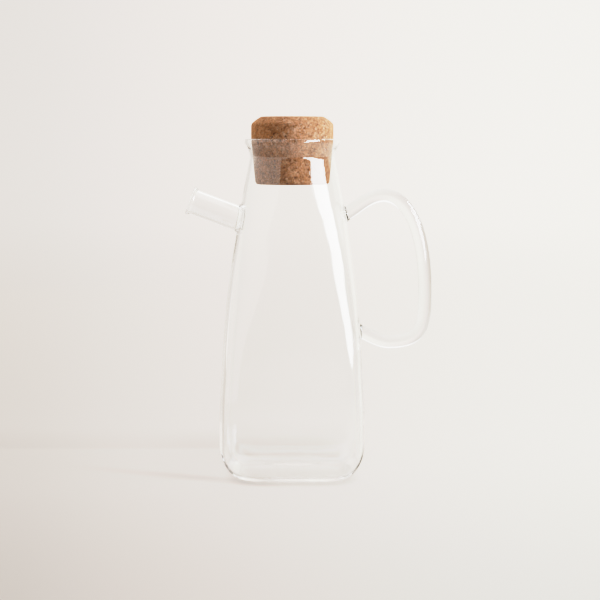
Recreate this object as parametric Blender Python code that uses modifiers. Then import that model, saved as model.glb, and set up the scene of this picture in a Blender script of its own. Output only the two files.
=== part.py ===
"""A glass oil bottle with a cork stopper.

The body is blown glass, round at the neck and a rounded square at the base. A straight pouring
spout and a solid rod handle are welded on. The tapered cork wedges in the narrow neck.

Metres, +Z up. The origin is the centre of the flat base. The spout points to -X, the handle to +X.
"""
import math

import bmesh
import bpy
from mathutils import Vector

MM = 0.001

# The outside of the body above the bottom curve: height, half width across the flats, and
# roundness power, where 2 is a circle and 10 is a square with small round corners.
STATIONS = (
    (24 * MM, 43.0 * MM, 10.0),
    (42 * MM, 43.0 * MM, 10.0),
    (62 * MM, 41.9 * MM, 9.5),
    (82 * MM, 40.8 * MM, 7.8),
    (102 * MM, 39.5 * MM, 5.2),
    (122 * MM, 37.4 * MM, 3.8),
    (142 * MM, 34.3 * MM, 2.9),
    (167 * MM, 30.0 * MM, 2.1),
    (180 * MM, 27.5 * MM, 2.0),
    (190.7 * MM, 25.4 * MM, 2.0),
    (197.0 * MM, 26.2 * MM, 2.0),
    (202 * MM, 28.6 * MM, 2.0),
)
BASE_CURVE_HEIGHT = STATIONS[0][0]
BASE_CURVE_WIDTH = 16 * MM
RIM_HEIGHT = STATIONS[-1][0]
WAIST_HEIGHT = STATIONS[9][0]
WAIST_RADIUS = STATIONS[9][1]

# The flat that the bottle stands on has rounder corners than the walls above it
BASE_POWER = 5.0

# Glass thickness
WALL_AT_NECK = 1.5 * MM
WALL_AT_BASE = 2.1 * MM
FLOOR = 3.6 * MM
INNER_CURVE_HEIGHT = 18 * MM
INNER_CURVE_WIDTH = 14 * MM
LIP_ROUNDING = 0.75 * MM

# Pouring spout: a straight tube on the -X side
SPOUT_ROOT = Vector((-32.6 * MM, 0, 154.8 * MM))
SPOUT_MOUTH = Vector((-61.2 * MM, 0, 165.5 * MM))
SPOUT_RADIUS = 7.8 * MM
SPOUT_BORE = 6.3 * MM
SPOUT_MOUTH_FLARE = 1.0 * MM
SPOUT_MOUTH_LENGTH = 2.6 * MM
SPOUT_WELD = 1.4 * MM
SPOUT_SUNK = 6 * MM

# Handle: a solid glass rod on the +X side. Each knot has X, Z, the direction of travel in degrees
# from +X towards +Z, the reach of its curve handles before and after it, and its thickness factor.
ROD_RADIUS = 4 * MM
HANDLE_KNOTS = (
    (28.6 * MM, 154.7 * MM, 33, 1.5 * MM, 1.5 * MM, 1.50),
    (34.6 * MM, 158.6 * MM, 33, 1.5 * MM, 5.5 * MM, 1.00),
    (54.7 * MM, 168.4 * MM, 0, 8.5 * MM, 16.1 * MM, 1.00),
    (79.9 * MM, 111.0 * MM, -90, 33.0 * MM, 18.8 * MM, 1.04),
    (58.3 * MM, 80.1 * MM, 180, 22.0 * MM, 5.5 * MM, 1.00),
    (44.6 * MM, 84.9 * MM, 156, 4.0 * MM, 1.5 * MM, 1.00),
    (37.6 * MM, 88.0 * MM, 156, 1.5 * MM, 1.5 * MM, 1.50),
)

# Cork stopper
FIT_GAP = 0.3 * MM
CORK_TOP = 215.3 * MM
CORK_BOTTOM = 175.0 * MM
CORK_RADIUS = 24.6 * MM
CORK_TAPER_START = 201.5 * MM
CORK_CHAMFER_WIDTH = 6.0 * MM
CORK_CHAMFER_HEIGHT = 4.9 * MM
CORK_END_ROUNDING = 1.0 * MM

# Facets of the solids
SIDES = 56
TUBE_SIDES = 28
BODY_LEVELS = 12
CURVE_STEPS = 5

GLASS_COLOUR = (0.96, 0.98, 0.97, 1.0)
CORK_COLOUR = (0.48, 0.26, 0.13, 1.0)


def new_material(name, colour, roughness, transmission=0.0, ior=1.45):
    material = bpy.data.materials.new(name)
    material.use_nodes = True
    shader = material.node_tree.nodes["Principled BSDF"]
    shader.inputs["Base Color"].default_value = colour
    shader.inputs["Metallic"].default_value = 0.0
    shader.inputs["Roughness"].default_value = roughness
    shader.inputs["Transmission Weight"].default_value = transmission
    shader.inputs["IOR"].default_value = ior
    material.diffuse_color = colour
    return material


def add_object(name, mesh, collection, material=None):
    thing = bpy.data.objects.new(name, mesh)
    collection.objects.link(thing)
    if material:
        mesh.materials.append(material)
    mesh.shade_smooth()
    mesh.set_sharp_from_angle(angle=math.radians(35))
    return thing


def as_tool(thing):
    """A solid that only cuts or joins another one is drawn as wires and left out of renders."""
    thing.hide_render = True
    thing.display_type = "WIRE"
    return thing


def slopes(heights, values):
    """Slopes for a curve through the stations that never swings past them."""
    steps = [(values[i + 1] - values[i]) / (heights[i + 1] - heights[i]) for i in range(len(values) - 1)]
    inner = [2 * a * b / (a + b) if a * b > 0 else 0.0 for a, b in zip(steps, steps[1:])]
    return [steps[0]] + inner + [steps[-1]]


def at_height(z, column):
    """The half width (column 1) or the roundness power (column 2) of the outside at a height."""
    heights = [row[0] for row in STATIONS]
    values = [row[column] for row in STATIONS]
    tangents = slopes(heights, values)
    i = max(i for i in range(len(heights) - 1) if i == 0 or z >= heights[i])
    width = heights[i + 1] - heights[i]
    t = (z - heights[i]) / width
    rise = t * t * (3 - 2 * t)
    start = t * (1 - t) ** 2 * width * tangents[i]
    end = t * t * (t - 1) * width * tangents[i + 1]
    return values[i] + (values[i + 1] - values[i]) * rise + start + end


def wall_at(z):
    """Glass thickness, which thins evenly from the base to the neck."""
    share = min(max((z - BASE_CURVE_HEIGHT) / (WAIST_HEIGHT - BASE_CURVE_HEIGHT), 0.0), 1.0)
    return WALL_AT_BASE + (WALL_AT_NECK - WALL_AT_BASE) * share


def ring(half, power, z, inset=0.0):
    """One level of the body: a superellipse, moved inwards by the inset along its own normal."""
    points = []
    for step in range(SIDES):
        angle = 2 * math.pi * step / SIDES
        c, s = math.cos(angle), math.sin(angle)
        x = math.copysign(abs(c) ** (2 / power), c)
        y = math.copysign(abs(s) ** (2 / power), s)
        normal = Vector((math.copysign(abs(x) ** (power - 1), x), math.copysign(abs(y) ** (power - 1), y)))
        normal.normalize()
        points.append(Vector((half * x - inset * normal.x, half * y - inset * normal.y, z)))
    return points


def loft(name, rings, collection, material=None):
    """A closed solid through rings of points, from the lowest ring to the highest."""
    bm = bmesh.new()
    levels = [[bm.verts.new(point) for point in points] for points in rings]
    for low, high in zip(levels, levels[1:]):
        for i in range(len(low)):
            j = (i + 1) % len(low)
            bm.faces.new((low[i], low[j], high[j], high[i]))
    bm.faces.new(reversed(levels[0]))
    bm.faces.new(levels[-1])
    mesh = bpy.data.meshes.new(name)
    bm.to_mesh(mesh)
    bm.free()
    return add_object(name, mesh, collection, material)


def bottom_rings(floor, curve_height, curve_width, wall):
    """Levels of a bottom curve, from the flat at its middle up to where the wall begins."""
    foot, power = STATIONS[0][1], STATIONS[0][2]
    rings = []
    for sine, cosine in quarter(CURVE_STEPS)[:-1]:
        half = foot - curve_width * (1 - sine)
        power_here = BASE_POWER + (power - BASE_POWER) * sine
        rings.append(ring(half, power_here, floor + curve_height * (1 - cosine), wall))
    return rings


def body_heights(start):
    """Levels from the top of a bottom curve up to the start of the lip's rounding."""
    top = RIM_HEIGHT - LIP_ROUNDING
    even = [start + (WAIST_HEIGHT - start) * i / BODY_LEVELS for i in range(BODY_LEVELS + 1)]
    lip = [WAIST_HEIGHT + (top - WAIST_HEIGHT) * i / CURVE_STEPS for i in range(1, CURVE_STEPS + 1)]
    return even + lip


def quarter(steps):
    """Sines and cosines through a quarter turn, both ends included."""
    angles = [math.pi / 2 * i / steps for i in range(steps + 1)]
    return [(math.sin(angle), math.cos(angle)) for angle in angles]


def make_outside(collection, material):
    """The outer form of the body, solid to begin with."""
    rings = bottom_rings(0.0, BASE_CURVE_HEIGHT, BASE_CURVE_WIDTH, 0.0)
    for z in body_heights(BASE_CURVE_HEIGHT):
        rings.append(ring(at_height(z, 1), at_height(z, 2), z))
    top = RIM_HEIGHT - LIP_ROUNDING
    for sine, cosine in quarter(3)[1:]:
        half = at_height(top, 1) - LIP_ROUNDING * (1 - cosine)
        rings.append(ring(half, 2.0, top + LIP_ROUNDING * sine))
    return loft("glass_bottle", rings, collection, material)


def make_cavity(collection):
    """The space inside, from the thick floor up through the lip."""
    top = RIM_HEIGHT - LIP_ROUNDING
    rings = bottom_rings(FLOOR, INNER_CURVE_HEIGHT, INNER_CURVE_WIDTH, WALL_AT_BASE)
    for z in body_heights(FLOOR + INNER_CURVE_HEIGHT):
        z_read = max(z, BASE_CURVE_HEIGHT)
        rings.append(ring(at_height(z_read, 1), at_height(z_read, 2), z, wall_at(z)))
    for sine, cosine in quarter(3)[1:]:
        half = at_height(top, 1) - wall_at(top) + 0.9 * LIP_ROUNDING * (1 - cosine)
        rings.append(ring(half, 2.0, top + LIP_ROUNDING * sine))
    rings.append(ring(half, 2.0, RIM_HEIGHT + 5 * MM))
    return as_tool(loft("cavity", rings, collection))


def turned(name, profile, sides, collection, material=None):
    """A turned solid about Z from (radius, height) points, listed down its outer side."""
    mesh = bpy.data.meshes.new(name)
    bm = bmesh.new()
    verts = [bm.verts.new((radius, 0, z)) for radius, z in profile]
    for upper, lower in zip(verts, verts[1:]):
        bm.edges.new((upper, lower))
    bm.to_mesh(mesh)
    bm.free()
    thing = add_object(name, mesh, collection, material)
    screw = thing.modifiers.new("turn", "SCREW")
    screw.axis = "Z"
    screw.steps = sides
    screw.render_steps = sides
    screw.use_merge_vertices = True
    screw.merge_threshold = 0.00005
    screw.use_smooth_shade = True
    return thing


def point_along(thing, start, end):
    """Puts a turned solid with its own Z axis along the line from start to end."""
    thing.location = start
    thing.rotation_mode = "QUATERNION"
    thing.rotation_quaternion = (end - start).to_track_quat("Z", "Y")


def make_spout(collection):
    """The spout's outer form, with a weld ring at the wall and a slightly flared mouth."""
    length = (SPOUT_MOUTH - SPOUT_ROOT).length
    flare_start = length - SPOUT_MOUTH_LENGTH
    edge = 0.5 * MM
    profile = [(0, length), (SPOUT_RADIUS + SPOUT_MOUTH_FLARE - edge, length)]
    profile.append((SPOUT_RADIUS + SPOUT_MOUTH_FLARE, length - edge))
    profile.append((SPOUT_RADIUS + 0.4 * SPOUT_MOUTH_FLARE, length - 0.5 * SPOUT_MOUTH_LENGTH))
    profile.append((SPOUT_RADIUS, flare_start))
    for sine, cosine in quarter(3):
        profile.append((SPOUT_RADIUS + SPOUT_WELD * (1 - cosine), 2 * SPOUT_WELD * (1 - sine)))
    profile.append((SPOUT_RADIUS + SPOUT_WELD, -SPOUT_SUNK))
    profile.append((0, -SPOUT_SUNK))
    spout = turned("spout", profile, TUBE_SIDES, collection)
    point_along(spout, SPOUT_ROOT, SPOUT_MOUTH)
    return as_tool(spout)


def make_bore(collection):
    """The spout's bore, which opens into the body and widens at the mouth."""
    length = (SPOUT_MOUTH - SPOUT_ROOT).length
    flare_start = length - SPOUT_MOUTH_LENGTH
    mouth = SPOUT_BORE + SPOUT_MOUTH_FLARE
    profile = [(0, length + 3 * MM), (mouth, length + 3 * MM), (mouth, length - 0.5 * MM)]
    profile += [(SPOUT_BORE, flare_start), (SPOUT_BORE, -SPOUT_SUNK), (0, -SPOUT_SUNK)]
    bore = turned("bore", profile, TUBE_SIDES, collection)
    point_along(bore, SPOUT_ROOT, SPOUT_MOUTH)
    return as_tool(bore)


def make_handle(collection):
    """The bent rod, thicker where it is welded to the wall."""
    curve = bpy.data.curves.new("handle", "CURVE")
    curve.dimensions = "3D"
    curve.bevel_depth = ROD_RADIUS
    curve.bevel_resolution = 5
    curve.resolution_u = 8
    curve.render_resolution_u = 0
    curve.use_fill_caps = True
    spline = curve.splines.new("BEZIER")
    spline.radius_interpolation = "EASE"
    spline.bezier_points.add(len(HANDLE_KNOTS) - 1)
    for knot, (x, z, degrees, before, after, thickness) in zip(spline.bezier_points, HANDLE_KNOTS):
        place = Vector((x, 0, z))
        ahead = Vector((math.cos(math.radians(degrees)), 0, math.sin(math.radians(degrees))))
        knot.co = place
        knot.handle_left_type = knot.handle_right_type = "FREE"
        knot.handle_left = place - ahead * before
        knot.handle_right = place + ahead * after
        knot.radius = thickness
    guide = bpy.data.objects.new("handle_guide", curve)
    collection.objects.link(guide)
    mesh = bpy.data.meshes.new_from_object(guide.evaluated_get(bpy.context.evaluated_depsgraph_get()))
    bm = bmesh.new()
    bm.from_mesh(mesh)
    bmesh.ops.remove_doubles(bm, verts=bm.verts, dist=0.01 * MM)
    bm.to_mesh(mesh)
    bm.free()
    handle = add_object("handle", mesh, collection)
    handle.matrix_world = guide.matrix_world
    bpy.data.objects.remove(guide)
    return as_tool(handle)


def combine(target, tool, operation):
    step = target.modifiers.new(operation.lower() + "_" + tool.name, "BOOLEAN")
    step.operation = operation
    step.object = tool


def make_bottle(parts, tools):
    material = new_material("clear_glass", GLASS_COLOUR, 0.0, transmission=1.0, ior=1.47)
    bottle = make_outside(parts, material)
    combine(bottle, make_spout(tools), "UNION")
    combine(bottle, make_handle(tools), "UNION")
    combine(bottle, make_cavity(tools), "DIFFERENCE")
    combine(bottle, make_bore(tools), "DIFFERENCE")
    return bottle


def make_cork(parts):
    """The stopper: a bevelled top, a straight band, and a taper that fits the waist of the neck."""
    waist = WAIST_RADIUS - WALL_AT_NECK - FIT_GAP
    narrowing = (CORK_RADIUS - waist) / (CORK_TAPER_START - WAIST_HEIGHT)
    end = CORK_RADIUS - narrowing * (CORK_TAPER_START - CORK_BOTTOM)
    profile = [(0, CORK_TOP), (CORK_RADIUS - CORK_CHAMFER_WIDTH, CORK_TOP)]
    profile.append((CORK_RADIUS - 0.45 * CORK_CHAMFER_WIDTH, CORK_TOP - 0.42 * CORK_CHAMFER_HEIGHT))
    profile.append((CORK_RADIUS - 0.05 * CORK_CHAMFER_WIDTH, CORK_TOP - 0.85 * CORK_CHAMFER_HEIGHT))
    profile.append((CORK_RADIUS, CORK_TOP - 1.15 * CORK_CHAMFER_HEIGHT))
    profile.append((CORK_RADIUS, CORK_TAPER_START))
    profile.append((end, CORK_BOTTOM + CORK_END_ROUNDING))
    profile.append((end - CORK_END_ROUNDING, CORK_BOTTOM))
    profile.append((0, CORK_BOTTOM))
    material = new_material("cork", CORK_COLOUR, 0.85)
    return turned("cork_stopper", profile, SIDES, parts, material)


def main():
    for old in list(bpy.data.objects):
        bpy.data.objects.remove(old)
    parts = bpy.data.collections.new("glass_bottle_with_cork")
    tools = bpy.data.collections.new("cutters")
    bpy.context.scene.collection.children.link(parts)
    bpy.context.scene.collection.children.link(tools)
    make_bottle(parts, tools)
    make_cork(parts)


main()
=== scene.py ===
"""The looks of a glass oil bottle with a spout, a rod handle and a cork stopper.

Metres, +Z up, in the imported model's frame. The spout points to -X and the handle to +X.
The camera looks along +Y.
"""

import math

import bpy
import numpy as np
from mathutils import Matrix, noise


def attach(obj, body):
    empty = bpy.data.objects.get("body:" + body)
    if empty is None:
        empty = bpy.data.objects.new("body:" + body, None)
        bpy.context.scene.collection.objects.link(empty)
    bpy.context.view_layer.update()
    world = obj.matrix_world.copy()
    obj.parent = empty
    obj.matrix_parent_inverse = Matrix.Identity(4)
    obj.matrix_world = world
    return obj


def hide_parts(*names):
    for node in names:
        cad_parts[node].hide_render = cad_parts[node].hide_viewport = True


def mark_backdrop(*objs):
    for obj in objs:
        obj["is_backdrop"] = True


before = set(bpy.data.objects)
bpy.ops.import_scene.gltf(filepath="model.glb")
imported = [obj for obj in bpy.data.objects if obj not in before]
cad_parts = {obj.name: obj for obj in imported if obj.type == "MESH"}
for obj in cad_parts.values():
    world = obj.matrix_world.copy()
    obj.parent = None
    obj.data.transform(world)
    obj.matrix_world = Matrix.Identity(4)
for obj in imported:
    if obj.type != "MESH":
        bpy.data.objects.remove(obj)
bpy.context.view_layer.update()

MM = 0.001

# The outside of the body: height, half width, roundness power
STATIONS = (
    (24 * MM, 43.0 * MM, 10.0),
    (42 * MM, 43.0 * MM, 10.0),
    (62 * MM, 41.9 * MM, 9.5),
    (82 * MM, 40.8 * MM, 7.8),
    (102 * MM, 39.5 * MM, 5.2),
    (122 * MM, 37.4 * MM, 3.8),
    (142 * MM, 34.3 * MM, 2.9),
    (167 * MM, 30.0 * MM, 2.1),
    (180 * MM, 27.5 * MM, 2.0),
    (188.0 * MM, 25.87 * MM, 2.0),
    (190.3 * MM, 25.41 * MM, 2.0),
    (191.0 * MM, 25.3 * MM, 2.0),
    (191.7 * MM, 25.36 * MM, 2.0),
    (193.5 * MM, 25.68 * MM, 2.0),
    (196.0 * MM, 26.4 * MM, 2.0),
    (198.1 * MM, 27.55 * MM, 2.0),
    (199.3 * MM, 28.3 * MM, 2.0),
    (200.2 * MM, 28.5 * MM, 2.0),
    (202 * MM, 28.25 * MM, 2.0),
)
FOOT = STATIONS[0][1]
BASE_CURVE_HEIGHT = 24 * MM
BASE_CURVE_WIDTH = 16 * MM
BASE_POWER = 5.0
BASE_HOLLOW = 0.3 * MM
RIM_HEIGHT = 202 * MM
WAIST_HEIGHT = 190.7 * MM
WALL_AT_NECK = 1.5 * MM
WALL_AT_BASE = 2.1 * MM
FLOOR = 2.2 * MM
INNER_CURVE_HEIGHT = 18 * MM
INNER_CURVE_WIDTH = 14 * MM
LIP_ROUNDING = 0.75 * MM

# Pouring spout
SPOUT_ROOT = np.array((-32.6, 0, 154.8)) * MM
SPOUT_MOUTH = np.array((-61.2, 0, 165.5)) * MM
SPOUT_RADIUS = 7.8 * MM
SPOUT_BORE = 6.3 * MM
SPOUT_MOUTH_FLARE = 1.0 * MM
SPOUT_MOUTH_LENGTH = 2.6 * MM
SPOUT_FILLET = 1.4 * MM
SPOUT_EDGE = 0.7 * MM
BORE_ROUNDING = 0.6 * MM
BORE_START = 9 * MM
BORE_OVERRUN = 3 * MM

# Handle: X, Z, direction of travel in degrees, reach of the curve before and after the knot, and a
# factor on the rod's thickness
ROD_RADIUS = 4 * MM
ROD_FILLET = 2.0 * MM
HANDLE_KNOTS = (
    (34.6 * MM, 158.6 * MM, 33, 1.5 * MM, 5.5 * MM, 1.00),
    (54.7 * MM, 168.4 * MM, 0, 8.5 * MM, 16.1 * MM, 1.00),
    (79.9 * MM, 111.0 * MM, -90, 33.0 * MM, 18.8 * MM, 1.01),
    (58.3 * MM, 80.1 * MM, 180, 22.0 * MM, 5.5 * MM, 1.00),
    (44.6 * MM, 84.9 * MM, 156, 4.0 * MM, 1.5 * MM, 1.00),
)

# Cork stopper: its form, then the grains in a metre for its relief and its colours, and its pits
CORK_TOP = 215.3 * MM
CORK_BOTTOM = 175.0 * MM
CORK_RADIUS = 24.6 * MM
CORK_TAPER_START = 201.5 * MM
CORK_CHAMFER_WIDTH = 6.0 * MM
CORK_CHAMFER_HEIGHT = 4.9 * MM
CORK_END_ROUNDING = 1.0 * MM
CORK_AT_WAIST = 23.6 * MM
CORK_SIDES = 360
GRAIN_RELIEF = 620
GRAIN_COLOUR = 640.0
GRAIN_FINE = 1300.0
PIT_SHARE = 0.085
PIT_DEPTH = 0.6 * MM
# Painted shade: the heights where the cork starts and ends turning darker and warmer, inside the glass
# neck
NECK_SHADE_START = CORK_TAPER_START - 6 * MM
NECK_SHADE_END = NECK_SHADE_START - 5 * MM
SEAM_DEPTH = 0.10 * MM
SWELL_DEPTH = 0.05 * MM

BODY_SIDES = 192
TUBE_SIDES = 72
ROD_SIDES = 96


def smoothstep(low, high, value):
    t = np.clip((value - low) / (high - low), 0.0, 1.0)
    return t * t * (3 - 2 * t)


def mesh_object(name, verts, faces, material):
    mesh = bpy.data.meshes.new(name)
    mesh.from_pydata([tuple(v) for v in verts], [], faces)
    mesh.update()
    mesh.shade_smooth()
    if material:
        mesh.materials.append(material)
    thing = bpy.data.objects.new(name, mesh)
    bpy.context.scene.collection.objects.link(thing)
    return thing


def skin(rings, flip=False):
    """Closed skin over rings of points. A ring of one point is an end."""
    verts, starts = [], []
    for points in rings:
        starts.append(len(verts))
        verts.extend(points)
    faces = []
    for k in range(len(rings) - 1):
        a, b = starts[k], starts[k + 1]
        na, nb = len(rings[k]), len(rings[k + 1])
        n = max(na, nb)
        for i in range(n):
            j = (i + 1) % n
            if na == 1:
                faces.append((a, b + j, b + i))
            elif nb == 1:
                faces.append((a + i, a + j, b))
            else:
                faces.append((a + i, a + j, b + j, b + i))
    if flip:
        faces = [face[::-1] for face in faces]
    return verts, faces


def station_slopes(heights, values):
    steps = [(values[i + 1] - values[i]) / (heights[i + 1] - heights[i]) for i in range(len(values) - 1)]
    inner = [2 * a * b / (a + b) if a * b > 0 else 0.0 for a, b in zip(steps, steps[1:])]
    return [steps[0]] + inner + [steps[-1]]


def at_height(z, column):
    """Half width (column 1) or roundness power (column 2) of the outside at heights z."""
    heights = [row[0] for row in STATIONS]
    values = np.array([row[column] for row in STATIONS])
    tangents = np.array(station_slopes(heights, list(values)))
    z = np.asarray(z, float)
    i = np.clip(np.searchsorted(heights, z, side="right") - 1, 0, len(heights) - 2)
    low, high = np.array(heights)[i], np.array(heights)[i + 1]
    width = high - low
    t = (z - low) / width
    rise = t * t * (3 - 2 * t)
    start = t * (1 - t) ** 2 * width * tangents[i]
    end = t * t * (t - 1) * width * tangents[i + 1]
    return values[i] + (values[i + 1] - values[i]) * rise + start + end


def wall_at(z):
    share = np.clip((z - BASE_CURVE_HEIGHT) / (WAIST_HEIGHT - BASE_CURVE_HEIGHT), 0.0, 1.0)
    return WALL_AT_BASE + (WALL_AT_NECK - WALL_AT_BASE) * share


def smoothed(rows, spread):
    """Rows of a profile resampled every quarter of a millimetre along it and blurred by the spread."""
    step = 0.25 * MM
    lengths = np.concatenate([[0], np.cumsum(np.hypot(np.diff(rows[:, 0]), np.diff(rows[:, 2])))])
    even = np.arange(0, lengths[-1], step)
    sampled = np.stack([np.interp(even, lengths, rows[:, k]) for k in range(rows.shape[1])], 1)
    reach = int(math.ceil(4 * spread / step))
    kernel = np.exp(-0.5 * (np.arange(-reach, reach + 1) * step / spread) ** 2)
    kernel /= kernel.sum()
    padded = np.pad(sampled, ((reach, reach), (0, 0)), mode="reflect", reflect_type="odd")
    blurred = np.stack([np.convolve(padded[:, k], kernel, mode="valid") for k in range(rows.shape[1])], 1)
    return even, sampled, blurred


def thin_out(rows, spacing):
    """Rows picked so that the spacing at each one is about the wanted spacing there."""
    steps = np.hypot(np.diff(rows[:, 0]), np.diff(rows[:, 2]))
    count = np.concatenate([[0], np.cumsum(steps / (0.5 * (spacing[1:] + spacing[:-1])))])
    wanted = np.linspace(0, count[-1], int(round(count[-1])) + 1)
    return np.stack([np.interp(wanted, count, rows[:, k]) for k in range(rows.shape[1])], 1)


def profile(floor, curve_height, curve_width, inset):
    """Rows of half width, power, height and inset from the edge of the bottom flat up to the lip."""
    turn = np.linspace(0, math.pi / 2, 400)[:-1]
    low = np.stack([
        FOOT - curve_width * (1 - np.sin(turn)),
        BASE_POWER + (STATIONS[0][2] - BASE_POWER) * np.sin(turn),
        floor + curve_height * (1 - np.cos(turn)),
        np.full(len(turn), inset),
    ], 1)
    z = np.linspace(floor + curve_height, RIM_HEIGHT - LIP_ROUNDING, 1200)
    z_read = np.maximum(z, BASE_CURVE_HEIGHT)
    insets = wall_at(z) if inset else np.zeros(len(z))
    high = np.stack([at_height(z_read, 1), at_height(z_read, 2), z, insets], 1)
    rows = np.concatenate([low, high])
    even, sampled, wide = smoothed(rows, 2.2 * MM)
    fine = smoothed(rows, 0.4 * MM)[2]
    body = smoothstep(4 * MM, 12 * MM, even) * (1 - smoothstep(179 * MM, 187 * MM, sampled[:, 2]))
    rows = fine + (wide - fine) * body[:, None]
    levels = np.array((0, 28, 34, 182, 186)) * MM
    spacing = np.interp(rows[:, 2], levels, np.array((0.8, 0.9, 1.6, 1.6, 0.35)) * MM)
    return thin_out(rows, spacing)


def superellipse(angle, power):
    """Points of a superellipse of half width 1 at polar angles, and the outward directions there."""
    c, s = np.cos(angle), np.sin(angle)
    reach = (np.abs(c) ** power + np.abs(s) ** power) ** (-1 / power)
    x, y = reach * c, reach * s
    nx = np.sign(x) * np.abs(x) ** (power - 1)
    ny = np.sign(y) * np.abs(y) ** (power - 1)
    return x, y, nx, ny


def even_turn(power):
    """Polar angles around a superellipse, shared out evenly by length and by turning."""
    dense = np.linspace(0, 2 * math.pi, 2881)
    x, y, nx, ny = superellipse(dense, power)
    normal = np.unwrap(np.arctan2(ny, nx))
    length = np.concatenate([[0], np.cumsum(np.hypot(np.diff(x), np.diff(y)))])
    share = 0.5 * length / length[-1] + 0.5 * (normal - normal[0]) / (normal[-1] - normal[0])
    return np.interp(np.arange(BODY_SIDES) / BODY_SIDES, share, dense)


def ring(half, power, z, inset=0.0, scale=1.0):
    """One level of the body, moved inwards by the inset along its own normal."""
    x, y, nx, ny = superellipse(even_turn(power), power)
    size = np.hypot(nx, ny)
    px = scale * (half * x - inset * nx / size)
    py = scale * (half * y - inset * ny / size)
    return np.stack([px, py, np.full(BODY_SIDES, z)], 1)


def glass_wave(points):
    """How much the inner surface of blown glass wanders from place to place, from -1 to 1."""
    angle = np.arctan2(points[:, 1], points[:, 0])
    z = points[:, 2] / (100 * MM)
    wave = 0.5 * np.sin(2 * angle + 1.3 + 3.1 * z) + 0.3 * np.sin(3 * angle + 4.0 - 5.3 * z)
    return wave + 0.2 * np.sin(5 * angle + 0.6 + 8.9 * z)


def make_vessel():
    """The body: outer skin from the middle of the base up over the lip, and the inner skin back down."""
    outer = profile(0.0, BASE_CURVE_HEIGHT, BASE_CURVE_WIDTH, 0.0)
    inner = profile(FLOOR, INNER_CURVE_HEIGHT, INNER_CURVE_WIDTH, WALL_AT_BASE)
    rings = [np.array([(0, 0, BASE_HOLLOW)])]
    for scale in np.linspace(0, 1, 14)[1:-1]:
        hollow = BASE_HOLLOW * (1 - smoothstep(0.25, 0.92, scale))
        rings.append(ring(outer[0, 0], outer[0, 1], hollow, 0.0, scale))
    rings += [ring(half, power, z, inset) for half, power, z, inset in outer]
    top = RIM_HEIGHT - LIP_ROUNDING
    out_half, in_half = outer[-1, 0], inner[-1, 0] - inner[-1, 3]
    middle, reach = (out_half + in_half) / 2, (out_half - in_half) / 2
    for angle in np.linspace(0, math.pi, 18)[1:-1]:
        rings.append(ring(middle + reach * math.cos(angle), 2.0, top + LIP_ROUNDING * math.sin(angle)))
    for half, power, z, inset in inner[::-1]:
        points = ring(half, power, z, inset)
        share = 0.06 * MM * smoothstep(8 * MM, 40 * MM, z) * (1 - smoothstep(165 * MM, 185 * MM, z))
        flat = np.hypot(points[:, 0], points[:, 1])
        points[:, :2] *= (1 + share * glass_wave(points) / flat)[:, None]
        rings.append(points)
    for scale in np.linspace(1, 0, 14)[1:-1]:
        rings.append(ring(inner[0, 0], inner[0, 1], inner[0, 2], inner[0, 3], scale))
    rings.append(np.array([(0, 0, inner[0, 2])]))
    return skin(rings)


def wall_distance(start, axis, offsets, inset):
    """How far along the axis from start + each offset the body's surface lies, by halving."""
    table = np.linspace(BASE_CURVE_HEIGHT, 200 * MM, 1500)
    halves, powers = at_height(table, 1), at_height(table, 2)
    low, high = np.full(len(offsets), -14 * MM), np.full(len(offsets), 10 * MM)
    for _ in range(40):
        middle = (low + high) / 2
        points = start + offsets + middle[:, None] * axis
        half = np.interp(points[:, 2], table, halves) - inset
        power = np.interp(points[:, 2], table, powers)
        inside = np.abs(points[:, 0]) ** power + np.abs(points[:, 1]) ** power < half ** power
        low = np.where(inside, middle, low)
        high = np.where(inside, high, middle)
    return (low + high) / 2


def around(axis, sides):
    """Unit vectors around an axis in the XZ plane."""
    across = np.array((-axis[2], 0, axis[0]))
    turn = 2 * math.pi * np.arange(sides) / sides
    return np.cos(turn)[:, None] * across + np.sin(turn)[:, None] * np.array((0, 1.0, 0))


def foot_rings(start, axis, radius, fillet, sides):
    """Rings of a round weld, from inside the wall out to the plain tube."""
    spokes = around(axis, sides)
    rings = []
    for share in (0.0, 0.35, 0.7, 0.95):
        reach = share * (radius + fillet)
        depth = wall_distance(start, axis, reach * spokes, 0.0) - 0.7 * MM
        points = start + reach * spokes + depth[:, None] * axis
        rings.append(points[:1] if share == 0.0 else points)
    for turn in np.linspace(math.pi / 2, 0, 9):
        reach = radius + fillet * (1 - math.cos(turn))
        sunk = 0.2 * MM * smoothstep(1.2, math.pi / 2, turn)
        depth = wall_distance(start, axis, reach * spokes, 0.0) + fillet * (1 - math.sin(turn)) - sunk
        rings.append(start + reach * spokes + depth[:, None] * axis)
    return rings


def spout_line():
    """The spout's direction, its length, and spokes around it."""
    length = np.linalg.norm(SPOUT_MOUTH - SPOUT_ROOT)
    axis = (SPOUT_MOUTH - SPOUT_ROOT) / length
    return axis, length, around(axis, TUBE_SIDES)


def tube_rings(radius, first, edge_turn, edge_steps):
    """Rings along the spout from a first place to its flared mouth, whose edge turns in or out."""
    axis, length, spokes = spout_line()
    flare_start = length - SPOUT_MOUTH_LENGTH
    rings = [SPOUT_ROOT + radius * spokes + along * axis for along in np.linspace(first, flare_start, 10)]
    for share in np.linspace(0, 1, 8)[1:]:
        wide = radius + SPOUT_MOUTH_FLARE * share ** 1.6
        along = flare_start + share * (SPOUT_MOUTH_LENGTH - SPOUT_EDGE)
        rings.append(SPOUT_ROOT + wide * spokes + along * axis)
    for turn in np.linspace(0, math.pi / 2, edge_steps)[1:]:
        wide = radius + SPOUT_MOUTH_FLARE + edge_turn * SPOUT_EDGE * (1 - math.cos(turn))
        along = length - SPOUT_EDGE * (1 - math.sin(turn))
        rings.append(SPOUT_ROOT + wide * spokes + along * axis)
    return rings


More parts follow.
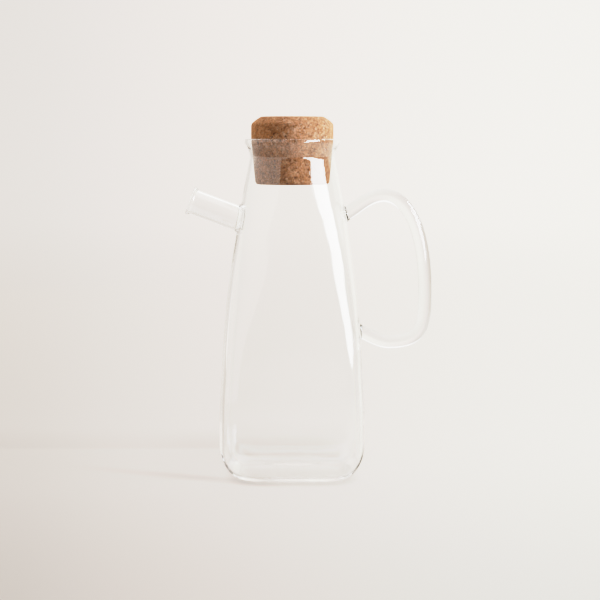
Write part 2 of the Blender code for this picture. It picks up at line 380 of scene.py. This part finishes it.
def make_spout_solid():
    axis = spout_line()[0]
    rings = foot_rings(SPOUT_ROOT, axis, SPOUT_RADIUS, SPOUT_FILLET, TUBE_SIDES)
    rings += tube_rings(SPOUT_RADIUS, 7 * MM, -1, 8)
    rings.append(np.array([SPOUT_MOUTH]))
    return skin(rings, flip=True)


def make_bore_solid():
    """What is taken out of the spout and the wall, with rounded edges at both ends."""
    axis, length, spokes = spout_line()
    wall = wall_at(SPOUT_ROOT[2])
    wide = SPOUT_BORE + BORE_ROUNDING
    depth = wall_distance(SPOUT_ROOT, axis, wide * spokes, wall)
    rings = [np.array([SPOUT_ROOT - BORE_START * axis])]
    rings.append(SPOUT_ROOT + wide * spokes - BORE_START * axis)
    rings.append(SPOUT_ROOT + wide * spokes + (depth - 0.2 * MM)[:, None] * axis)
    for turn in np.linspace(math.pi / 2, 0, 7):
        reach = SPOUT_BORE + BORE_ROUNDING * (1 - math.cos(turn))
        rise = BORE_ROUNDING * (1 - math.sin(turn))
        depth = wall_distance(SPOUT_ROOT, axis, reach * spokes, wall) + rise
        rings.append(SPOUT_ROOT + reach * spokes + depth[:, None] * axis)
    rings += tube_rings(SPOUT_BORE, 5 * MM, 1, 7)
    mouth = SPOUT_BORE + SPOUT_MOUTH_FLARE + SPOUT_EDGE
    end = (length + BORE_OVERRUN) * axis
    rings.append(SPOUT_ROOT + mouth * spokes + end)
    rings.append(np.array([SPOUT_ROOT + end]))
    return skin(rings, flip=True)


def heading(degrees):
    """A direction in the XZ plane, from +X towards +Z."""
    return np.array((math.cos(math.radians(degrees)), 0, math.sin(math.radians(degrees))))


def handle_path():
    """Points, directions and thickness factors along the bent rod between its two straight ends."""
    points, ahead, thickness = [], [], []
    for start, end in zip(HANDLE_KNOTS, HANDLE_KNOTS[1:]):
        a, d = np.array((start[0], 0, start[1])), np.array((end[0], 0, end[1]))
        b = a + start[4] * heading(start[2])
        c = d - end[3] * heading(end[2])
        for t in np.linspace(0, 1, 120)[:-1]:
            middle = 3 * t * (1 - t) ** 2 * b + 3 * t * t * (1 - t) * c
            points.append((1 - t) ** 3 * a + middle + t ** 3 * d)
            ahead.append((1 - t) ** 2 * (b - a) + 2 * t * (1 - t) * (c - b) + t * t * (d - c))
            thickness.append(start[5] + (end[5] - start[5]) * smoothstep(0, 1, t))
    points, ahead = np.array(points), np.array(ahead)
    ahead /= np.linalg.norm(ahead, axis=1)[:, None]
    lengths = np.concatenate([[0], np.cumsum(np.linalg.norm(np.diff(points, axis=0), axis=1))])
    wanted = np.linspace(3.0 * MM, lengths[-1] - 3.5 * MM, 150)
    points = np.stack([np.interp(wanted, lengths, points[:, k]) for k in range(3)], 1)
    ahead = np.stack([np.interp(wanted, lengths, ahead[:, k]) for k in range(3)], 1)
    ahead /= np.linalg.norm(ahead, axis=1)[:, None]
    return points, ahead, np.interp(wanted, lengths, thickness)


def make_handle_solid():
    first, last = HANDLE_KNOTS[0], HANDLE_KNOTS[-1]
    start = np.array((first[0], 0, first[1]))
    rings = foot_rings(start, heading(first[2]), ROD_RADIUS, ROD_FILLET, ROD_SIDES)
    for point, direction, factor in zip(*handle_path()):
        rings.append(point + factor * ROD_RADIUS * around(direction, ROD_SIDES))
    start = np.array((last[0], 0, last[1]))
    end = foot_rings(start, -heading(last[2]), ROD_RADIUS, ROD_FILLET, ROD_SIDES)
    # The foot's own axis points out of the wall, so its spokes run the other way round the rod
    order = (ROD_SIDES // 2 - np.arange(ROD_SIDES)) % ROD_SIDES
    for points in reversed(end):
        rings.append(points[order] if len(points) > 1 else points)
    return skin(rings, flip=True)


def make_glass(material):
    vessel = mesh_object("bottle_glass", *make_vessel(), material)
    tools = []
    for name, solid, operation in (
        ("spout_tube", make_spout_solid(), "UNION"),
        ("handle_rod", make_handle_solid(), "UNION"),
        ("spout_bore", make_bore_solid(), "DIFFERENCE"),
    ):
        tool = mesh_object(name, *solid, material)
        step = vessel.modifiers.new(name, "BOOLEAN")
        step.operation = operation
        step.solver = "MANIFOLD"
        step.object = tool
        tools.append(tool)
    whole = bpy.data.meshes.new_from_object(vessel.evaluated_get(bpy.context.evaluated_depsgraph_get()))
    vessel.modifiers.clear()
    vessel.data = whole
    whole.name = "bottle_glass"
    for tool in tools:
        bpy.data.objects.remove(tool)
    whole.shade_smooth()
    return vessel


def cork_profile():
    """Radius and height from the middle of the top, down the side and in under the bottom."""
    narrowing = (CORK_RADIUS - CORK_AT_WAIST) / (CORK_TAPER_START - WAIST_HEIGHT)
    end = CORK_RADIUS - narrowing * (CORK_TAPER_START - CORK_BOTTOM)
    corners = [(0, CORK_TOP), (CORK_RADIUS - CORK_CHAMFER_WIDTH, CORK_TOP)]
    corners.append((CORK_RADIUS - 0.45 * CORK_CHAMFER_WIDTH, CORK_TOP - 0.42 * CORK_CHAMFER_HEIGHT))
    corners.append((CORK_RADIUS - 0.05 * CORK_CHAMFER_WIDTH, CORK_TOP - 0.85 * CORK_CHAMFER_HEIGHT))
    corners.append((CORK_RADIUS, CORK_TOP - 1.15 * CORK_CHAMFER_HEIGHT))
    corners.append((CORK_RADIUS, CORK_TAPER_START))
    corners.append((end, CORK_BOTTOM + CORK_END_ROUNDING))
    corners.append((end - CORK_END_ROUNDING, CORK_BOTTOM))
    corners.append((0, CORK_BOTTOM))
    corners = np.array(corners)
    lengths = np.concatenate([[0], np.cumsum(np.hypot(*np.diff(corners, axis=0).T))])
    step = 0.1 * MM
    even = np.arange(0, lengths[-1], step)
    rows = np.stack([np.interp(even, lengths, corners[:, k]) for k in range(2)], 1)
    kernel = np.exp(-0.5 * (np.arange(-20, 21) * step / (0.45 * MM)) ** 2)
    kernel /= kernel.sum()
    padded = np.pad(rows, ((20, 20), (0, 0)), mode="edge")
    rows = np.stack([np.convolve(padded[:, k], kernel, mode="valid") for k in range(2)], 1)
    return rows[4::4]


def make_cork(material):
    turn = 2 * math.pi * np.arange(CORK_SIDES) / CORK_SIDES
    rings = [np.array([(0, 0, CORK_TOP)])]
    for radius, z in cork_profile():
        if radius > 0.5 * MM:
            x, y = radius * np.cos(turn), -radius * np.sin(turn)
            rings.append(np.stack([x, y, np.full(CORK_SIDES, z)], 1))
    rings.append(np.array([(0, 0, CORK_BOTTOM)]))
    cork = mesh_object("cork", *skin(rings), material)
    mesh = cork.data
    places = [vertex.co * GRAIN_RELIEF for vertex in mesh.vertices]
    grains = [noise.voronoi(place) for place in places]
    near = np.array([distances[0] for distances, cells in grains])
    gap = np.array([distances[1] for distances, cells in grains]) - near
    cells = np.array([cells[0] for distances, cells in grains])
    chance = np.modf(np.abs(np.sin(cells @ np.array((12.9898, 78.233, 37.719))) * 4375.85))[0]
    swell = np.array([noise.noise(place * 0.35) for place in places])
    pit = np.where(chance < PIT_SHARE, 1 - smoothstep(0.15, 0.5, near), 0.0)
    sink = SEAM_DEPTH * (1 - smoothstep(0.0, 0.22, gap)) + SWELL_DEPTH * swell + PIT_DEPTH * pit
    spots, normals = np.zeros(3 * len(places)), np.zeros(3 * len(places))
    mesh.vertices.foreach_get("co", spots)
    mesh.vertices.foreach_get("normal", normals)
    spots -= normals * np.repeat(np.maximum(sink, 0.0), 3)
    mesh.vertices.foreach_set("co", spots)
    attribute = mesh.attributes.new("pit", "FLOAT", "POINT")
    attribute.data.foreach_set("value", pit.astype(np.float32))
    mesh.update()
    return cork


class Nodes:
    """A short way to add and join shader nodes."""

    def __init__(self, tree):
        self.tree = tree
        tree.nodes.clear()

    def add(self, kind, **settings):
        node = self.tree.nodes.new("ShaderNode" + kind)
        inputs = settings.pop("inputs", {})
        for key, value in settings.items():
            setattr(node, key, value)
        for key, value in inputs.items():
            socket = node.inputs[key]
            if isinstance(value, bpy.types.NodeSocket):
                self.tree.links.new(value, socket)
            else:
                socket.default_value = value
        return node

    def math(self, operation, *values, clamp=False):
        node = self.add("Math", operation=operation, use_clamp=clamp)
        for socket, value in zip(node.inputs, values):
            if isinstance(value, bpy.types.NodeSocket):
                self.tree.links.new(value, socket)
            else:
                socket.default_value = value
        return node.outputs[0]

    def ramp(self, factor, *stops, interpolation="LINEAR"):
        node = self.add("ValToRGB", inputs={"Fac": factor})
        ramp = node.color_ramp
        ramp.interpolation = interpolation
        while len(ramp.elements) < len(stops):
            ramp.elements.new(1.0)
        for element, (place, colour) in zip(ramp.elements, stops):
            element.position = place
            element.color = (*colour, 1.0) if len(colour) == 3 else colour
        return node.outputs["Color"]

    def mix(self, factor, a, b, blend="MIX"):
        node = self.add("MixRGB", blend_type=blend, inputs={"Fac": factor, "Color1": a, "Color2": b})
        return node.outputs["Color"]


def new_material(name):
    material = bpy.data.materials.new(name)
    material.use_nodes = True
    return material, Nodes(material.node_tree)


def glass_material():
    material, nodes = new_material("clear_glass")
    shader = nodes.add("BsdfPrincipled", inputs={
        "Base Color": (0.985, 0.992, 0.988, 1.0),
        "Roughness": 0.0,
        "IOR": 1.47,
        "Transmission Weight": 1.0,
    })
    nodes.add("OutputMaterial", inputs={"Surface": shader.outputs[0]})
    return material


def cork_material():
    material, nodes = new_material("granulated_cork")
    place = nodes.add("TexCoord").outputs["Object"]
    coarse = nodes.add("TexVoronoi", inputs={"Vector": place, "Scale": GRAIN_COLOUR})
    fine = nodes.add("TexVoronoi", inputs={"Vector": place, "Scale": GRAIN_FINE})
    spots = {"Vector": place, "Scale": GRAIN_COLOUR}
    edges = nodes.add("TexVoronoi", feature="DISTANCE_TO_EDGE", inputs=spots)
    clouds = nodes.add("TexNoise", inputs={"Vector": place, "Scale": 70.0, "Detail": 3.0}).outputs["Fac"]
    dust = nodes.add("TexNoise", inputs={"Vector": place, "Scale": 2600.0, "Detail": 2.0}).outputs["Fac"]
    pick = nodes.add("SeparateColor", inputs={"Color": coarse.outputs["Color"]}).outputs[0]
    pick_fine = nodes.add("SeparateColor", inputs={"Color": fine.outputs["Color"]}).outputs[0]
    grains = nodes.ramp(
        pick, (0.0, (0.21, 0.070, 0.018)), (0.18, (0.48, 0.180, 0.060)), (0.5, (0.68, 0.280, 0.118)),
        (0.82, (0.82, 0.380, 0.190)), (1.0, (0.93, 0.55, 0.34)))
    small = nodes.ramp(
        pick_fine, (0.0, (0.08, 0.028, 0.008)), (0.2, (0.50, 0.195, 0.072)), (0.7, (0.78, 0.330, 0.150)),
        (1.0, (0.98, 0.62, 0.38)))
    colour = nodes.mix(0.5, grains, small)
    shade = nodes.math("MULTIPLY_ADD", clouds, 0.7, 0.66)
    grey = nodes.add("CombineColor", inputs={0: shade, 1: shade, 2: shade}).outputs[0]
    colour = nodes.mix(1.0, colour, grey, "MULTIPLY")
    away = nodes.math("MULTIPLY", edges.outputs["Distance"], 9.0, clamp=True)
    seam = nodes.math("SUBTRACT", 1.0, away, clamp=True)
    colour = nodes.mix(nodes.math("MULTIPLY", seam, 0.4), colour, (0.17, 0.075, 0.03, 1.0))
    # Painted shade: the cork is darker and warmer from a little below its taper downwards, where it sits
    # inside the glass neck
    height = nodes.add("SeparateXYZ", inputs={0: place}).outputs[2]
    neck_shade = nodes.add("MapRange", inputs={"Value": height, 1: NECK_SHADE_START, 2: NECK_SHADE_END}).outputs[0]
    colour = nodes.mix(neck_shade, colour, (0.93, 0.86, 0.74, 1.0), "MULTIPLY")
    pit = nodes.add("Attribute", attribute_name="pit").outputs["Fac"]
    colour = nodes.mix(nodes.math("MULTIPLY", pit, 0.9), colour, (0.05, 0.018, 0.007, 1.0))
    relief = nodes.math("ADD", nodes.math("MULTIPLY", seam, -0.6), nodes.math("MULTIPLY", dust, 0.5))
    bump = nodes.add("Bump", inputs={"Height": relief, "Strength": 0.5, "Distance": 0.00025})
    rough = nodes.math("MULTIPLY_ADD", dust, 0.2, 0.72)
    shader = nodes.add("BsdfPrincipled", inputs={
        "Base Color": colour,
        "Roughness": rough,
        "Specular IOR Level": 0.3,
        "Normal": bump.outputs["Normal"],
    })
    nodes.add("OutputMaterial", inputs={"Surface": shader.outputs[0]})
    return material


def light_panel(name, distance, rows, shown, cast, colour):
    """A soft light with one strength in the glass and another on lit surfaces.

    Each row is a height with the azimuths of both its ends, in degrees from the camera's side to the
    handle's. The light is clear when it is seen straight, and one with nothing shown in the glass is
    clear to every ray that comes through glass.
    """
    material, nodes = new_material(name)
    path = nodes.add("LightPath").outputs
    unlit = nodes.math("LESS_THAN", path["Diffuse Depth"], 0.5)
    direct = nodes.math("MAXIMUM", path["Is Camera Ray"], path["Is Transmission Ray"])
    in_glass = nodes.math("MULTIPLY", unlit, nodes.math("MAXIMUM", path["Is Glossy Ray"], direct))
    clear = nodes.math("MAXIMUM", in_glass, path["Is Transmission Ray"])
    if shown:
        straight = nodes.math("MULTIPLY", direct, nodes.math("LESS_THAN", path["Glossy Depth"], 0.5))
        clear = nodes.math("MULTIPLY", unlit, straight)
    strength = nodes.math("MULTIPLY_ADD", in_glass, shown - cast, cast)
    emission = nodes.add("Emission", inputs={"Color": (*colour, 1.0), "Strength": strength}).outputs[0]
    through = nodes.add("BsdfTransparent").outputs[0]
    both = nodes.add("MixShader", inputs={0: clear, 1: emission, 2: through})
    nodes.add("OutputMaterial", inputs={"Surface": both.outputs[0]})
    columns = 12
    verts = []
    for height, start, end in rows:
        for turn in np.radians(np.linspace(start, end, columns + 1)):
            verts.append((distance * math.sin(turn), -distance * math.cos(turn), height))
    faces = []
    for row in range(len(rows) - 1):
        for column in range(columns):
            first = row * (columns + 1) + column
            faces.append((first, first + 1, first + columns + 2, first + columns + 1))
    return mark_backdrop(mesh_object(name, verts, faces, material))


# Light panels: height in metres, and the azimuths of both ends in degrees
SOFTBOX = ((0.088, 31, 38), (0.135, 27, 48), (0.17, 27.5, 56), (0.245, 31, 63), (0.36, 37.5, 70.5),
           (0.43, 40, 74), (0.49, 42.5, 92), (0.55, 44, 96), (0.59, 48, 98), (0.625, 55, 99),
           (0.69, 55.5, 99), (0.74, 68, 102), (1.1, 72, 106))
LEFT_PANEL = ((0.0, -135, -13), (0.4, -135, -12), (0.5, -135, -15), (0.6, -135, -30), (0.75, -135, -36),
              (1.6, -135, -36))
LEFT_FILL = ((0.0, -160, -60), (1.6, -160, -60))
KEY_LIGHT = ((0.1, 63, 92), (1.1, 63, 92))
# The dark card is a dim sheet that stands for the shade round the camera's side, as the glass shows it
DARK_CARD = ((0.03, -34, 117), (1.8, -34, 117))

# Painted brightness of the sweep's glow from front to back: Y, brightness
SWEEP_DEPTH = ((-0.4, 0.43), (-0.30, 0.53), (-0.21, 0.595), (-0.10, 0.69), (0.04, 0.78), (0.30, 0.83),
               (1.0, 0.96), (3.2, 1.22), (3.4, 1.22))
SWEEP_DEPTH_TOP = 1.3

# The sweep's own light as it is seen and as it falls on surfaces, and how light its paint is
SWEEP_GLOW = 1.76
SWEEP_CAST = 0.42
SWEEP_PAINT = 0.42

# The sweep's form: steps around, radius of the flat floor, radius of the bend, depth under the bottle
SWEEP_SIDES = 96
SWEEP_FLAT = 2.6
SWEEP_BEND = 1.4
SWEEP_BELOW = 0.2 * MM


def curve_node(nodes, value, points, top):
    """A smooth curve through points, whose heights are at most top."""
    low, high = points[0][0], points[-1][0]
    place = nodes.add("MapRange", inputs={"Value": value, 1: low, 2: high}).outputs[0]
    node = nodes.add("FloatCurve", inputs={"Value": place})
    curve = node.mapping.curves[0]
    scaled = [((x - low) / (high - low), y / top) for x, y in points]
    for dot, (x, y) in zip(curve.points, (scaled[0], scaled[-1])):
        dot.location = (x, y)
    for x, y in scaled[1:-1]:
        curve.points.new(x, y)
    node.mapping.update()
    return nodes.math("MULTIPLY", node.outputs[0], top)


def painted_glass_shadow(nodes, x, y):
    """The glass's shadow painted on the paper, as a share of the light that is left there; the glass
    casts no real shadow.

    It has four parts: a soft band behind the base, a pale patch around it and to its left, a streak that
    runs off to the left in front, and a darker spot under the base.
    """
    def step(value, start, end, low, high):
        inputs = {"Value": value, 1: start, 2: end, 3: low, 4: high}
        return nodes.add("MapRange", interpolation_type="SMOOTHSTEP", inputs=inputs).outputs[0]

    def from_box(half_x, mid_x, half_y, mid_y, rounding):
        dx = nodes.math("ABSOLUTE", nodes.math("SUBTRACT", x, mid_x))
        dy = nodes.math("ABSOLUTE", nodes.math("SUBTRACT", y, mid_y))
        dx = nodes.math("MAXIMUM", nodes.math("SUBTRACT", dx, half_x - rounding), 0.0)
        dy = nodes.math("MAXIMUM", nodes.math("SUBTRACT", dy, half_y - rounding), 0.0)
        reach = nodes.math("SQRT", nodes.math("MULTIPLY_ADD", dx, dx, nodes.math("MULTIPLY", dy, dy)))
        return nodes.math("SUBTRACT", reach, rounding)

    near = nodes.math("ADD", step(x, -0.05, -0.035, 0.0, 0.013), step(x, 0.01, 0.045, 0.0, 0.03))
    back = nodes.math("ADD", y, near)
    behind = nodes.math("MULTIPLY", step(back, 0.063, 0.075, 0.0, 1.0), step(back, 0.075, 0.15, 1.0, 0.0))
    behind = nodes.math("MULTIPLY", behind, step(x, -0.12, -0.03, 0.09, 0.26))
    behind = nodes.math("MULTIPLY", behind, step(x, 0.02, 0.045, 1.0, 0.0))
    patch = step(from_box(0.075, -0.040, 0.0465, 0.0235, 0.02), -0.008, 0.004, 1.0, 0.0)
    patch = nodes.math("MULTIPLY", patch, step(x, -0.11, -0.04, 0.0, 0.1))
    slant = nodes.math("ABSOLUTE", nodes.math("ADD", y, nodes.math("MULTIPLY_ADD", x, 0.4, 0.039)))
    streak = nodes.math("MULTIPLY", step(slant, 0.0, 0.012, 0.22, 0.0), step(x, -0.15, -0.04, 0.0, 1.0))
    streak = nodes.math("MULTIPLY", streak, step(x, -0.03, 0.0, 1.0, 0.0))
    under = step(from_box(0.0285, 0.0, 0.0285, 0.0, 0.0105), 0.004, 0.014, 0.3, 0.0)
    shade = nodes.math("ADD", nodes.math("ADD", behind, patch), nodes.math("ADD", streak, under))
    return nodes.math("SUBTRACT", 1.0, shade)


def make_sweep():
    """Floor and walls in one round sweep of glowing pale paper, with painted light that is a little
    dimmer in front and on the left, and the glass's painted shadow.
    """
    material, nodes = new_material("pale_paper")
    where = nodes.add("SeparateXYZ", inputs={0: nodes.add("NewGeometry").outputs["Position"]}).outputs
    across = nodes.math("DIVIDE", where[0], nodes.math("MAXIMUM", nodes.math("ADD", where[1], 1.0), 0.4))
    depth = curve_node(nodes, where[1], SWEEP_DEPTH, SWEEP_DEPTH_TOP)
    side = nodes.math("ADD", across, 0.5)
    # Painted light: darker and warmer on the left, lighter on the right, as if lit from the right; this
    # colour serves both the glow and the paint
    tone = nodes.ramp(
        side, (0.05, (0.46, 0.41, 0.37)), (0.24, (0.46, 0.40, 0.355)), (0.34, (0.515, 0.457, 0.41)),
        (0.42, (0.65, 0.563, 0.50)), (0.5, (0.74, 0.635, 0.565)), (0.60, (0.82, 0.76, 0.655)),
        (0.70, (0.87, 0.82, 0.70)), interpolation="B_SPLINE")
    path = nodes.add("LightPath").outputs
    unlit = nodes.math("LESS_THAN", path["Diffuse Depth"], 0.5)
    strength = nodes.math("MULTIPLY_ADD", unlit, SWEEP_GLOW - SWEEP_CAST, SWEEP_CAST)
    strength = nodes.math("MULTIPLY", depth, strength)
    # The paper's glow is dimmed by the glass's painted shadow
    strength = nodes.math("MULTIPLY", strength, painted_glass_shadow(nodes, where[0], where[1]))
    glow = nodes.add("Emission", inputs={"Color": tone, "Strength": strength}).outputs[0]
    paint = nodes.mix(1.0, tone, (SWEEP_PAINT, SWEEP_PAINT, SWEEP_PAINT, 1.0), "MULTIPLY")
    lit = nodes.add("BsdfDiffuse", inputs={"Color": paint}).outputs[0]
    both = nodes.add("AddShader", inputs={0: glow, 1: lit})
    nodes.add("OutputMaterial", inputs={"Surface": both.outputs[0]})
    material.cycles.emission_sampling = "NONE"
    turn = 2 * math.pi * np.arange(SWEEP_SIDES) / SWEEP_SIDES
    outline = [(radius, 0.0) for radius in (0.15, 0.4, 0.8, 1.4, 2.0, SWEEP_FLAT)]
    for angle in np.linspace(0, math.pi / 2, 24)[1:]:
        outline.append((SWEEP_FLAT + SWEEP_BEND * math.sin(angle), SWEEP_BEND * (1 - math.cos(angle))))
    outline += [(SWEEP_FLAT + SWEEP_BEND, 2.0), (SWEEP_FLAT + SWEEP_BEND, 2.8)]
    rings = [np.array([(0, 0, -SWEEP_BELOW)])]
    for radius, z in outline:
        height = np.full(SWEEP_SIDES, z - SWEEP_BELOW)
        rings.append(np.stack([radius * np.cos(turn), radius * np.sin(turn), height], 1))
    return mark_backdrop(mesh_object("sweep", *skin(rings), material))


WORLD_SHOWN = 3.4
WORLD_CAST = 0.9


def make_world():
    """Light from all round: strong in the glass, weaker on lit surfaces."""
    world = bpy.data.worlds.new("studio")
    bpy.context.scene.world = world
    world.use_nodes = True
    nodes = Nodes(world.node_tree)
    unlit = nodes.math("LESS_THAN", nodes.add("LightPath").outputs["Diffuse Depth"], 0.5)
    strength = nodes.math("MULTIPLY_ADD", unlit, WORLD_SHOWN - WORLD_CAST, WORLD_CAST)
    background = nodes.add("Background", inputs={"Color": (1.0, 0.985, 0.965, 1.0), "Strength": strength})
    nodes.add("OutputWorld", inputs={"Surface": background.outputs[0]})


# How scene brightness shows in the picture: highlights roll off early, as in the photograph
TONE = ((0, 0), (0.25, 0.25), (0.5, 0.48), (0.75, 0.65), (1.0, 0.745), (1.27, 0.80), (1.5, 0.835),
        (2.0, 0.885), (3.0, 0.945), (4.0, 0.97))
TONE_TOP = 4.0


def set_tone():
    """Shows bright parts softly, as the photograph does."""
    view = bpy.context.scene.view_settings
    view.view_transform = "Standard"
    view.use_curve_mapping = True
    mapping = view.curve_mapping
    mapping.white_level = (TONE_TOP, TONE_TOP, TONE_TOP)
    curve = mapping.curves[3]
    for dot, (x, y) in zip(curve.points, (TONE[0], TONE[-1])):
        dot.location = (x / TONE_TOP, y)
    for x, y in TONE[1:-1]:
        curve.points.new(x / TONE_TOP, y)
    mapping.update()


# Camera: place, lens in millimetres, and its tilt from two lengths in the 600-pixel picture
CAMERA_PLACE = (0.00456, -0.9, 0.202)
CAMERA_LENS = 90
HORIZON_ABOVE_MIDDLE = 161
FOCAL_LENGTH = 1500


def make_camera():
    camera = bpy.data.objects.new("camera", bpy.data.cameras.new("camera"))
    camera.data.lens = CAMERA_LENS
    camera.data.clip_start = 0.01
    camera.location = CAMERA_PLACE
    camera.rotation_euler = (math.pi / 2 - math.atan(HORIZON_ABOVE_MIDDLE / FOCAL_LENGTH), 0, 0)
    bpy.context.scene.collection.objects.link(camera)
    bpy.context.scene.camera = camera


BOUNCES = 64


def main():
    scene = bpy.context.scene
    scene.cycles.use_denoising = True
    scene.cycles.max_bounces = BOUNCES
    scene.cycles.transmission_bounces = BOUNCES
    scene.cycles.glossy_bounces = BOUNCES
    set_tone()
    make_camera()
    make_world()
    make_sweep()
    light_panel("softbox", 1.2, SOFTBOX, 36.0, 0.2, (0.94, 0.97, 1.0))
    light_panel("key_light", 1.15, KEY_LIGHT, 0.0, 15.5, (0.95, 1.03, 1.18))
    light_panel("left_fill", 1.21, LEFT_FILL, 0.0, 1.2, (1.0, 0.84, 0.55))
    light_panel("left_panel", 1.23, LEFT_PANEL, 1.9, 0.0, (1.0, 0.89, 0.80))
    light_panel("dark_card", 1.27, DARK_CARD, 0.22, 0.02, (1.0, 0.92, 0.82))
    glass = make_glass(glass_material())
    # The glass casts no real shadow; its shadow is painted on the sweep instead
    glass.visible_shadow = False
    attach(glass, "root")
    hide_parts("glass_bottle")
    cork = make_cork(cork_material())
    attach(cork, "root")
    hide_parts("cork_stopper")


main()
